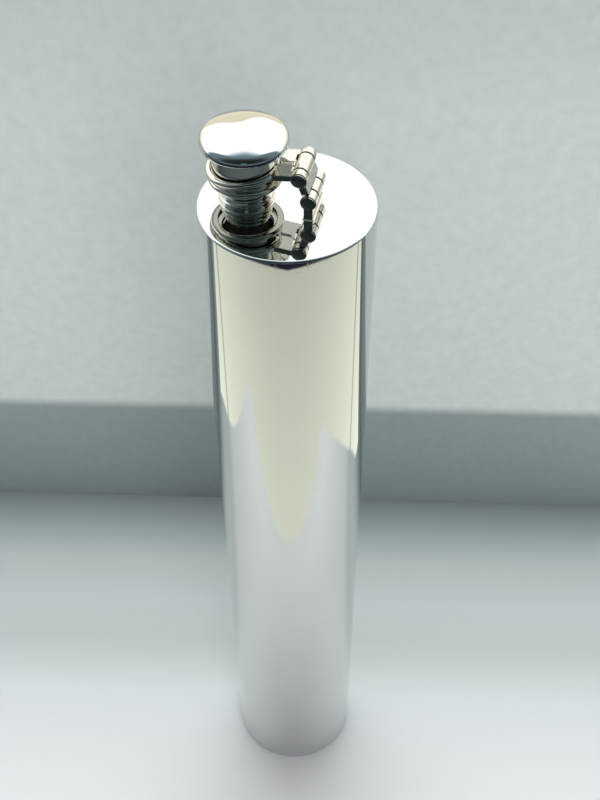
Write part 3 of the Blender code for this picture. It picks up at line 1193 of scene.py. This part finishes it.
@dataclass(frozen=True)
class CaptiveRing:
    """Split ring round the cap's waist, its two lugs and their outer knuckles."""

    layout: Layout
    sizes: HingeSizes
    material: bpy.types.Material
    bore: float = 8.35 * MM
    band: float = 1.3 * MM
    thickness: float = 1.6 * MM
    rise: float = 0.4 * MM
    tilt: float = math.radians(7.0)
    slit: float = 1.0 * MM
    rounding: float = 0.72 * MM
    inner_rounding: float = 0.25 * MM
    lug_easing: float = 0.15 * MM
    cutter: float = 3.0 * MM
    sides: int = 160

    def build(self) -> None:
        """Model the ring flat with the pin as its origin, then tip it to its rest."""
        sizes, where = self.sizes, self.layout
        arm = where.upper_pin.x - where.neck_x
        reach = (arm - self.rise * math.sin(self.tilt)) / math.cos(self.tilt)
        low, high = self.rise - self.thickness / 2.0, self.rise + self.thickness / 2.0
        outside = self.bore + self.band
        ease, inner = self.rounding, self.inner_rounding
        middle = Matrix.Translation((-reach, 0.0, 0.0))
        profile = rounded((outside - ease, high - ease), ease, 90.0, 0.0, 8)
        profile += rounded((outside - ease, low + ease), ease, 0.0, -90.0, 8)
        profile += rounded((self.bore + inner, low + inner), inner, 270.0, 180.0, 4)
        profile += rounded((self.bore + inner, high - inner), inner, 180.0, 90.0, 4)
        profile.append(profile[0])
        ring = Bench.lathe("captive_ring", profile, self.sides, middle)
        half = sizes.half - sizes.leaf_inset
        lugs = Bench.box("lugs", (-reach, -half, low), (0.0, half, high), self.lug_easing)
        Bench.combine(ring, lugs, "UNION")
        tall = self.cutter
        hole = Bench.plug("ring_hole", self.bore, -tall, tall, self.sides, middle)
        Bench.combine(ring, hole, "DIFFERENCE")
        Bench.combine(ring, sizes.room("ring_room", sizes.ring_knuckle), "DIFFERENCE")
        saw = Bench.box("ring_saw", (-reach, -self.slit / 2.0, -tall),
                        (sizes.clear, self.slit / 2.0, tall))
        Bench.combine(ring, saw, "DIFFERENCE")
        for knuckle in sizes.outer_pair("ring_knuckle", sizes.ring_knuckle):
            Bench.combine(ring, knuckle, "UNION")
        Bench.settle(ring, Matrix.Translation(where.upper_pin) @ Matrix.Rotation(-self.tilt, 4, "Y"))
        hand_over(ring, self.material, Body.RING, Slot.FITTINGS, "cap_ring")


class Seen(Enum):
    """Which rays see a piece of the studio."""

    BY_ALL = "all"
    IN_MIRRORS = "glossy"


@dataclass(frozen=True)
class Camera:
    """Where the photograph was taken from.

    Attributes:
        bearing: Turn of the level view about the upright axis.
        place: The lens, in the flask's frame.
        down: How far it looks down.
        roll: How far it is turned about its own view.
        lens: Focal length in millimetres.
        sensor: Width of the sensor in millimetres.
        near: Distance from which it sees.
    """

    bearing: float = math.radians(13.0)
    place: tuple[float, float, float] = (0.0527, -0.2156, 0.4261)
    down: float = math.radians(47.54)
    roll: float = math.radians(-0.29)
    lens: float = 51.75
    sensor: float = 36.0
    near: float = 0.01

    def turned(self) -> Matrix:
        """The studio's frame, whose Y runs level, away from the camera."""
        return Matrix.Rotation(self.bearing, 4, "Z")

    def build(self) -> None:
        """Place the camera and look through it."""
        data = bpy.data.cameras.new("photo_camera")
        data.sensor_width = self.sensor
        data.lens = self.lens
        data.clip_start = self.near
        data.dof.use_dof = False
        camera = bpy.data.objects.new("photo_camera", data)
        bpy.context.scene.collection.objects.link(camera)
        camera.matrix_world = (
            Matrix.Translation(self.place) @ self.turned()
            @ Matrix.Rotation(math.pi / 2.0 - self.down, 4, "X")
            @ Matrix.Rotation(self.roll, 4, "Z"))
        bpy.context.scene.camera = camera


@dataclass(frozen=True)
class StudioPaper:
    """A matt sheet whose colour ramps along one of its own axes, with painted light and shade in that
    ramp.

    Attributes:
        name: Material name.
        axis: Index of the axis that the shading follows.
        low: Place of the ramp's first colour on that axis.
        high: Place of its last colour.
        stops: Colours along the ramp, each with its share of the way.
        mottle: Strength of the paper's fine cloudiness.
        see_through_back: True where the sheet vanishes when it is seen from behind.
        roughness: Roughness of the paper.
        grain: Scale of the cloudiness.
    """

    name: str
    axis: int
    low: float
    high: float
    stops: tuple[Stop, ...]
    mottle: float = 0.01
    see_through_back: bool = False
    roughness: float = 0.6
    grain: float = 220.0

    def make(self) -> bpy.types.Material:
        """Build the material.

        Returns:
            The new material.
        """
        material, nodes = NodeTree.of_material(self.name)
        shader = nodes.known("Principled BSDF")
        place = nodes.place()
        along = nodes.add("ShaderNodeSeparateXYZ", {0: place}).outputs[self.axis]
        # Painted light and shade: the colour ramp along the sheet's axis.
        base = nodes.ramp(nodes.slope(along, self.low, self.high), self.stops)
        shade = nodes.slope(nodes.noise(place, self.grain, 6.0), 0.0, 1.0, 1.0 - self.mottle,
                            1.0 + self.mottle)
        mixed = nodes.add("ShaderNodeVectorMath", {0: base, 1: shade}, operation="MULTIPLY")
        nodes.feed(shader, {"Base Color": mixed.outputs[0], "Roughness": self.roughness})
        if self.see_through_back:
            back = nodes.add("ShaderNodeNewGeometry").outputs["Backfacing"]
            clear = nodes.add("ShaderNodeBsdfTransparent").outputs[0]
            both = nodes.add("ShaderNodeMixShader", {0: back, 1: shader.outputs[0], 2: clear})
            nodes.feed(nodes.known("Material Output"), {"Surface": both.outputs[0]})
        return material


@dataclass(frozen=True)
class PaintedReflectionCard:
    """Glowing sheet on the floor round the flask, seen in mirrors only: a painted reflection of a cream
    card, and painted shade for the dim room beyond it.

    Attributes:
        name: Material name.
        edge: Bearings from the camera's side in degrees, with the card's inner edge in metres.
        edge_soft: Half of the width over which the inner edge fades.
        behind: How far the card runs back past the flask.
        behind_soft: Width over which its back edge fades.
        glow: Brightness of the card's painted reflection, at no distance.
        glow_fall: How much dimmer it is for each metre of distance.
        glow_side: How much brighter it is on either side of the flask.
        shade_line: Bearing of the thin line of painted shade on either side, in degrees.
        shade_line_span: Turns from that line, in radians, between which it fades out.
        shade_line_level: Brightness left in that line of painted shade.
        room: Distance at which the card ends and the dim room begins, at the camera's bearing.
        room_spread: How much farther it begins for each radian to the side.
        room_soft: Half of the width over which it begins.
        room_half: Half of the dim room's width, in degrees.
        room_flare: How many radians wider it grows for each metre of distance.
        room_side: Half of the turn over which its sides fade, in radians.
        cream: Colour of the card.
        dark: Colour of the painted shade for the room just past the card.
        dim: Colour of that painted shade farther off.
        dim_span: Distances between which the room turns from dark to dim.
    """

    name: str = "painted_reflection_card"
    edge: tuple[tuple[float, float], ...] = (
        (-180.0, 0.185), (-117.0, 0.197), (-90.0, 0.180), (-66.0, 0.202), (-56.0, 0.214),
        (-47.0, 0.176), (-30.0, 0.140), (0.0, 0.124), (20.0, 0.135), (34.0, 0.155),
        (46.0, 0.187), (60.0, 0.181), (88.0, 0.167), (104.0, 0.160), (118.0, 0.155),
        (127.0, 0.180), (180.0, 0.180))
    edge_soft: float = 0.002
    behind: float = 0.085
    behind_soft: float = 0.004
    glow: float = 1.07
    glow_fall: float = 1.2
    glow_side: float = 0.25
    # A thin line of painted shade across the card's painted reflection, on either side.
    shade_line: float = 99.0
    shade_line_span: tuple[float, float] = (0.012, 0.035)
    shade_line_level: float = 0.6
    room: float = 0.3070
    room_spread: float = 0.0075
    room_soft: float = 0.0006
    room_half: float = 54.0
    room_flare: float = 8.0
    room_side: float = 0.08
    # Glowing colours seen only in mirrors: the cream is a painted reflection, the dark and dim room
    # colours are painted shade.
    cream: Colour = (0.99, 1.01, 0.87)
    dark: Colour = (0.012, 0.011, 0.030)
    dim: Colour = (0.13, 0.17, 0.19)
    dim_span: tuple[float, float] = (0.40, 0.75)

    def make(self) -> bpy.types.Material:
        """Build the material: clear inside the edge, a glowing cream painted reflection outside it, dim
        painted shade beyond.

        Returns:
            The new material.
        """
        material, nodes = NodeTree.of_material(self.name)
        nodes.tree.nodes.remove(nodes.known("Principled BSDF"))
        place = nodes.place()
        right, away, _ = nodes.add("ShaderNodeSeparateXYZ", {0: place}).outputs
        reach = nodes.add("ShaderNodeVectorMath", {0: place}, operation="LENGTH").outputs["Value"]
        bearing = nodes.maths("ARCTAN2", right, nodes.maths("MULTIPLY", away, -1.0))
        turned = nodes.maths("ABSOLUTE", bearing)

        dim = self.in_room(nodes, reach, turned)
        room = nodes.blend(nodes.span(reach, *self.dim_span), self.dark, self.dim)
        level = nodes.add("ShaderNodeMix", {
            "Factor": dim, 2: self.brightness(nodes, reach, bearing, turned), 3: 1.0,
        }, data_type="FLOAT").outputs[0]
        # The card glows though it is no lamp: a painted reflection in cream, painted shade for the room.
        light = nodes.add("ShaderNodeEmission", {
            "Color": nodes.blend(dim, self.cream, room), "Strength": level}).outputs[0]
        clear = nodes.add("ShaderNodeBsdfTransparent").outputs[0]
        both = nodes.add("ShaderNodeMixShader", {
            0: self.covers(nodes, reach, bearing, away), 1: clear, 2: light}).outputs[0]
        nodes.feed(nodes.known("Material Output"), {"Surface": both})
        return material

    def covers(self, nodes: NodeTree, reach: Socket, bearing: Socket, away: Socket) -> Socket:
        """Where the card and the room lie: past the inner edge, in front of the back edge.

        Args:
            nodes: The material's nodes.
            reach: Distance from the flask's axis.
            bearing: Bearing from the camera's side.
            away: Distance behind the axis.

        Returns:
            1 on the card and in the room, 0 elsewhere.
        """
        curve = nodes.add("ShaderNodeFloatCurve", {"Value": nodes.slope(bearing, -math.pi, math.pi)})
        self.draw(curve.mapping)
        past = nodes.maths("SUBTRACT", reach, curve.outputs[0])
        on_card = nodes.slope(past, -self.edge_soft, self.edge_soft)
        in_front = nodes.slope(away, self.behind, self.behind - self.behind_soft)
        return nodes.maths("MULTIPLY", on_card, in_front)

    def draw(self, mapping: bpy.types.CurveMapping) -> None:
        """Draw the card's inner edge as a curve over the bearing.

        Args:
            mapping: The curve's mapping.
        """
        line = mapping.curves[0]
        for index, (bearing, reach) in enumerate(self.edge):
            spot = (bearing / 360.0 + 0.5, reach)
            if index in (0, len(self.edge) - 1):
                line.points[0 if index == 0 else -1].location = spot
            else:
                line.points.new(*spot)
        mapping.update()

    def brightness(self, nodes: NodeTree, reach: Socket, bearing: Socket, turned: Socket) -> Socket:
        """The brightness of the card's painted reflection, which falls with distance and in the two
        lines of painted shade.

        Args:
            nodes: The material's nodes.
            reach: Distance from the flask's axis.
            bearing: Bearing from the camera's side.
            turned: The bearing without its sign.

        Returns:
            The brightness.
        """
        side = nodes.maths("SUBTRACT", 1.0, nodes.maths("COSINE", bearing))
        plain = nodes.maths("MULTIPLY_ADD", reach, -self.glow_fall, self.glow)
        glow = nodes.maths("MULTIPLY_ADD", side, self.glow_side, plain)
        off_shade_line = nodes.maths("ABSOLUTE", nodes.maths("SUBTRACT", turned, math.radians(self.shade_line)))
        shade_line = nodes.maths("MULTIPLY_ADD", nodes.span(off_shade_line, *self.shade_line_span),
                           1.0 - self.shade_line_level, self.shade_line_level)
        return nodes.maths("MULTIPLY", glow, shade_line)

    def in_room(self, nodes: NodeTree, reach: Socket, turned: Socket) -> Socket:
        """The painted shade of the room past the card's far edge, in a sector that widens with distance.

        Args:
            nodes: The material's nodes.
            reach: Distance from the flask's axis.
            turned: Bearing from the camera's side, without its sign.

        Returns:
            1 in the room, 0 elsewhere.
        """
        start = nodes.maths("MULTIPLY_ADD", turned, self.room_spread, self.room)
        beyond = nodes.maths("SUBTRACT", reach, start)
        half = nodes.maths("MULTIPLY_ADD", nodes.maths("MAXIMUM", beyond, 0.0), self.room_flare,
                           math.radians(self.room_half))
        aside = nodes.maths("SUBTRACT", turned, half)
        return nodes.maths("MULTIPLY", nodes.span(beyond, -self.room_soft, self.room_soft),
                           nodes.span(aside, self.room_side, -self.room_side))


@dataclass(frozen=True)
class StudioSky:
    """What the mirrors see: a wide white window behind the flask and a dim room round the camera.

    Attributes:
        bearing: Turn of the studio's frame about the upright axis.
        plain: Colour seen by the camera itself.
        soft: Radiance for matt surfaces.
        room: Colours of the room from the camera's side, at -1, up to the window's edge.
        room_draw: How much farther round the room seems to reach on either side.
        window: Radiance of the window in mirrors.
        window_edge: Where the window begins, on the scale of the room's colours.
        sill: Colour of the low band under the window.
        sill_height: Height of that band, as the upright part of a unit ray.
        sill_soft: Height over which its upper edge fades.
        sill_span: Level parts of a ray, away from the camera, between which it comes up.
        hump_height: How much higher the band rises at its hump.
        hump_turn: Turn of the hump left of the middle, in radians.
        hump_span: Turns from the hump, in radians, between which it rises.
        streak_tone: Colour of the streak at the camera's bearing.
        streak_width: Half of its width, as a share of the distance towards the camera.
        streak_soft: Half of the width over which its sides fade.
        streak_span: Heights between which its upper end comes up.
    """

    bearing: float
    plain: Colour = (0.50, 0.55, 0.56)
    soft: float = 0.45
    room: tuple[Stop, ...] = (
        (-1.0, (0.015, 0.02, 0.02)), (-0.6, (0.035, 0.05, 0.052)), (-0.45, (0.09, 0.13, 0.14)),
        (-0.27, (0.18, 0.25, 0.28)), (0.0, (0.20, 0.28, 0.31)), (0.08, (0.25, 0.34, 0.39)),
        (0.12, (0.48, 0.6, 0.7)), (0.16, (0.9, 1.0, 1.12)))
    room_draw: float = 0.12
    window: Colour = (1.55, 1.55, 1.6)
    window_edge: float = 0.20
    sill: Colour = (1.08, 0.99, 0.76)
    sill_height: float = 0.17
    sill_soft: float = 0.02
    sill_span: tuple[float, float] = (0.2, 0.4)
    hump_height: float = 0.28
    hump_turn: float = 0.14
    hump_span: tuple[float, float] = (0.30, 0.04)
    streak_tone: Colour = (0.10, 0.24, 0.24)
    streak_width: float = 0.11
    streak_soft: float = 0.02
    streak_span: tuple[float, float] = (0.22, 0.10)

    def build(self) -> None:
        """Build the world."""
        world = bpy.data.worlds.new("studio_sky")
        bpy.context.scene.world = world
        world.use_nodes = True
        nodes = NodeTree(world.node_tree)
        ray = nodes.add("ShaderNodeTexCoord").outputs["Generated"]
        level = nodes.add("ShaderNodeMapping", {"Vector": ray, "Rotation": (0.0, 0.0, -self.bearing)}
                          ).outputs[0]
        right, away, up = nodes.add("ShaderNodeSeparateXYZ", {0: level}).outputs
        aside = nodes.maths("ABSOLUTE", right)
        turned = nodes.maths("MULTIPLY_ADD", aside, self.room_draw, away)
        stops = (*self.room, (self.window_edge, self.window))
        room = nodes.ramp(nodes.maths("MULTIPLY_ADD", turned, 0.5, 0.5),
                          [((place + 1.0) / 2.0, tone) for place, tone in stops])
        streaked = nodes.blend(self.on_streak(nodes, aside, away, up), room, self.streak_tone)
        mirrored = nodes.blend(self.on_sill(nodes, right, away, up), streaked, self.sill)
        path = nodes.add("ShaderNodeLightPath").outputs
        matt = nodes.blend(path["Is Glossy Ray"], (self.soft,) * 3, mirrored)
        nodes.feed(nodes.known("Background"), {
            "Color": nodes.blend(path["Is Camera Ray"], matt, self.plain), "Strength": 1.0})

    def on_sill(self, nodes: NodeTree, right: Socket, away: Socket, up: Socket) -> Socket:
        """The low cream band under the window, which rises to one hump left of the middle.

        Args:
            nodes: The world's nodes.
            right: The ray's part to the right.
            away: Its part away from the camera.
            up: Its upright part.

        Returns:
            1 in the band, 0 elsewhere.
        """
        across = nodes.maths("ADD", nodes.maths("ARCTAN2", right, away), self.hump_turn)
        hump = nodes.span(nodes.maths("ABSOLUTE", across), *self.hump_span)
        edge = nodes.maths("MULTIPLY_ADD", hump, self.hump_height, self.sill_height)
        low = nodes.span(nodes.maths("SUBTRACT", up, edge), self.sill_soft, 0.0)
        return nodes.maths("MULTIPLY", low, nodes.span(away, *self.sill_span))

    def on_streak(self, nodes: NodeTree, aside: Socket, away: Socket, up: Socket) -> Socket:
        """One low upright streak at the camera's bearing.

        Args:
            nodes: The world's nodes.
            aside: The ray's part to either side.
            away: Its part away from the camera.
            up: Its upright part.

        Returns:
            1 in the streak, 0 elsewhere.
        """
        inside = nodes.maths("MULTIPLY_ADD", away, -self.streak_width,
                             nodes.maths("MULTIPLY", -1.0, aside))
        return nodes.maths("MULTIPLY", nodes.span(inside, -self.streak_soft, self.streak_soft),
                           nodes.span(up, *self.streak_span))


@dataclass(frozen=True)
class Lamp:
    """A soft round lamp that lights the matt surfaces but isn't mirrored in the metal.

    Attributes:
        name: Name of the lamp.
        place: Its place in the studio's frame.
        target: The point that it faces.
        size: Its diameter.
        power: Its power in watts.
    """

    name: str
    place: tuple[float, float, float]
    target: tuple[float, float, float]
    size: float
    power: float

    def build(self, turned: Matrix) -> None:
        """Hang the lamp up in the studio's frame.

        Args:
            turned: The studio's frame.
        """
        data = bpy.data.lights.new(self.name, "AREA")
        data.shape = "DISK"
        data.size = self.size
        data.energy = self.power
        item = bpy.data.objects.new(self.name, data)
        bpy.context.scene.collection.objects.link(item)
        aim = Vector(self.target) - Vector(self.place)
        facing = aim.to_track_quat("-Z", "Y").to_matrix().to_4x4()
        item.matrix_world = turned @ Matrix.Translation(self.place) @ facing
        item.visible_glossy = False


@dataclass(frozen=True)
class Studio:
    """Floor, backdrop, glowing card of painted reflections, soft lamps, sky and camera.

    Attributes:
        camera: The camera, whose bearing turns the whole studio.
        lamps: The lamps.
        reach: How far the floor and the backdrop run to every side.
        askew: Turn of the floor and the backdrop against the camera's bearing.
        floor_near: Place of the floor's first colour, nearest to the camera.
        floor_painted_shading: Colours of the floor from there to the backdrop: painted light and shade,
            darkening towards the backdrop.
        behind: Distance of the backdrop behind the flask.
        height: Height of the backdrop.
        shade_band_height: Height of the band of painted shade along its foot, on the flat sheet.
        shade_band_soft: Half of the share of its height over which that painted shade turns pale.
        corner: Colour of the backdrop at the floor, the darkest painted shade.
        shaded: Colour of the painted shade at the top of the band.
        pale: Colour above the foot.
        top_tone: Colour at its upper edge, darker than the pale part.
        top_tone_from: Share of its height from which it darkens to that colour.
        mottle: Strength of its cloudiness.
        card_lift: Height of the glowing painted-reflection card above the floor.
    """

    camera: Camera = Camera()
    lamps: tuple[Lamp, ...] = (
        Lamp("window_lamp", (0.0, 0.6, 1.4), (0.0, 0.0, 0.0), size=1.1, power=14.0),
        Lamp("wash_lamp", (0.3, -1.2, 0.9), (0.0, 0.1, 0.1), size=0.8, power=6.0))
    reach: float = 3.0
    askew: float = math.radians(-2.1)
    floor_near: float = -0.10
    # Painted light and shade on the floor: pale near the camera, darkening towards the backdrop's foot
    # where its shadow would fall.
    floor_painted_shading: tuple[Stop, ...] = (
        (0.0, (0.88, 0.91, 0.92)), (0.30, (0.755, 0.775, 0.795)), (0.52, (0.665, 0.70, 0.72)),
        (0.585, (0.56, 0.60, 0.61)), (0.635, (0.51, 0.555, 0.56)), (0.73, (0.52, 0.565, 0.575)),
        (0.83, (0.45, 0.50, 0.505)), (0.88, (0.35, 0.41, 0.415)), (0.935, (0.25, 0.30, 0.305)),
        (1.0, (0.145, 0.18, 0.185)))
    behind: float = 0.1055
    height: float = 0.262
    # Painted shade on the flat backdrop: a dark band along its foot, darkest at the floor.
    shade_band_height: float = 0.0636
    shade_band_soft: float = 0.01
    corner: Colour = (0.25, 0.305, 0.31)
    shaded: Colour = (0.29, 0.355, 0.36)
    pale: Colour = (0.69, 0.75, 0.74)
    top_tone: Colour = (0.60, 0.655, 0.645)
    top_tone_from: float = 0.8
    mottle: float = 0.09
    card_lift: float = 0.0005

    def sheet(self, name: str, place: Sequence[float], size: Sequence[float], upright: bool,
              material: bpy.types.Material, seen: Seen = Seen.BY_ALL) -> None:
        """Set up a flat sheet in the studio's frame; it never shades what lies behind it.

        Args:
            name: Name of the sheet.
            place: Its middle.
            size: Its width and its length or height.
            upright: True where it stands and faces the camera.
            material: What it is made of.
            seen: The rays that see it.
        """
        Bench.lay_down()
        bpy.ops.mesh.primitive_plane_add(size=1.0)
        item = bpy.context.active_object
        item.name = name
        item.scale = (size[0], size[1], 1.0)
        bpy.ops.object.transform_apply(location=False, rotation=False, scale=True)
        if upright:
            item.rotation_euler = (math.pi / 2.0, 0.0, 0.0)
        item.location = place
        bpy.ops.object.transform_apply(location=True, rotation=True, scale=True)
        turn = 0.0 if seen is Seen.IN_MIRRORS else self.askew
        item.matrix_world = self.camera.turned() @ Matrix.Rotation(turn, 4, "Z")
        dress(item, material)
        item.visible_shadow = False
        if seen is Seen.IN_MIRRORS:
            item.visible_camera = False
            item.visible_diffuse = False
            item.visible_transmission = False

    def set_out(self) -> None:
        """Lay the floor and the card, and stand the backdrop up."""
        wide = 2.0 * self.reach
        # The floor's ramp is painted light and shade, pale near the camera and darker towards the
        # backdrop.
        floor = StudioPaper("floor_paper_painted_shading", 1, self.floor_near, self.behind, self.floor_painted_shading).make()
        self.sheet("floor", (0.0, 0.0, 0.0), (wide, wide), False, floor)
        # The backdrop's ramp is painted shade: a dark band along its foot, darkest at the floor, pale
        # above.
        shade_band_share = self.shade_band_height / self.height
        backdrop = StudioPaper("backdrop_paper_painted_shade", 2, 0.0, self.height, (
            (0.0, self.corner), (shade_band_share - self.shade_band_soft, self.shaded),
            (shade_band_share + self.shade_band_soft, self.pale), (self.top_tone_from, self.pale), (1.0, self.top_tone)),
            self.mottle, True).make()
        self.sheet("backdrop", (0.0, self.behind, self.height / 2.0), (wide, self.height), True,
                   backdrop)
        # A glowing sheet seen only in mirrors: painted reflections of a cream card and painted shade of
        # the dim room.
        self.sheet("painted_reflection_card", (0.0, 0.0, self.card_lift), (wide, wide), False,
                   PaintedReflectionCard().make(), Seen.IN_MIRRORS)

    def build(self) -> None:
        """Set the whole studio."""
        bpy.context.scene.view_settings.view_transform = "Standard"
        self.camera.build()
        self.set_out()
        StudioSky(self.camera.bearing).build()
        for lamp in self.lamps:
            lamp.build(self.camera.turned())


def main() -> None:
    """Build the studio and every finished piece."""
    Studio().build()
    layout = Layout.read()
    shell = PewterFinish("polished_pewter", colour=(0.645, 0.665, 0.64), roughness=0.02,
                         haze=0.02).make()
    fittings = PewterFinish("fittings_pewter", colour=(0.67, 0.645, 0.575), haze=0.05,
                            waviness=0.15, tarnish=0.3).make()
    rubber = RubberFinish().make()
    sizes = HingeSizes()
    FlaskBody(layout, shell).build()
    ThreadedNeck(layout, fittings).build()
    HingeBracket(layout, sizes, fittings).build()
    HingeLink(layout, sizes, fittings).build()
    CaptiveRing(layout, sizes, fittings).build()
    pins = HingePin(sizes, fittings)
    pins.build("lower_rivet", layout.lower_pin, Body.FLASK, "lower_hinge_pin")
    pins.build("upper_rivet", layout.upper_pin, Body.RING, "upper_hinge_pin")
    ScrewCap(layout, fittings, shell, rubber).build()
    Bench.lay_down()


if __name__ == "__main__":
    main()
